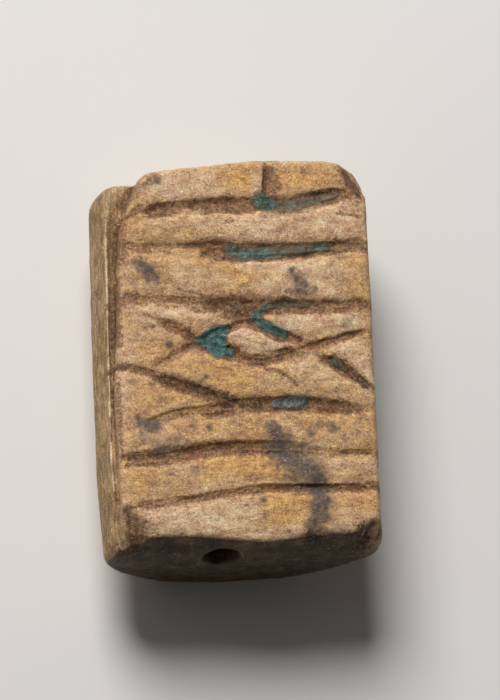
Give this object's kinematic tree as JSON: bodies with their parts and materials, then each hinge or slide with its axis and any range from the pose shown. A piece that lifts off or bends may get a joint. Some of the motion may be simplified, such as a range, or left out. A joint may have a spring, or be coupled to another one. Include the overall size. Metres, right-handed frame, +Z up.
{
  "type": "plaque bead",
  "caption": "Small rectangular plaque bead of glazed stone with an engraved flat face, a rounded back and a string hole along its length.",
  "frame": {"origin": "middle of the flat strip under the rounded back, on which the bead lies", "axes": "+X across the width, +Y along the length and the string hole towards the end with the slanted corner, +Z up out of the engraved face"},
  "size_m": [0.0124, 0.0176, 0.006],
  "materials": {
    "fired_stone": "fired and worn, with glaze left in the cut lines"
  },
  "bodies": {
    "root": {"bead": "fired_stone"}
  },
  "joints": []
}
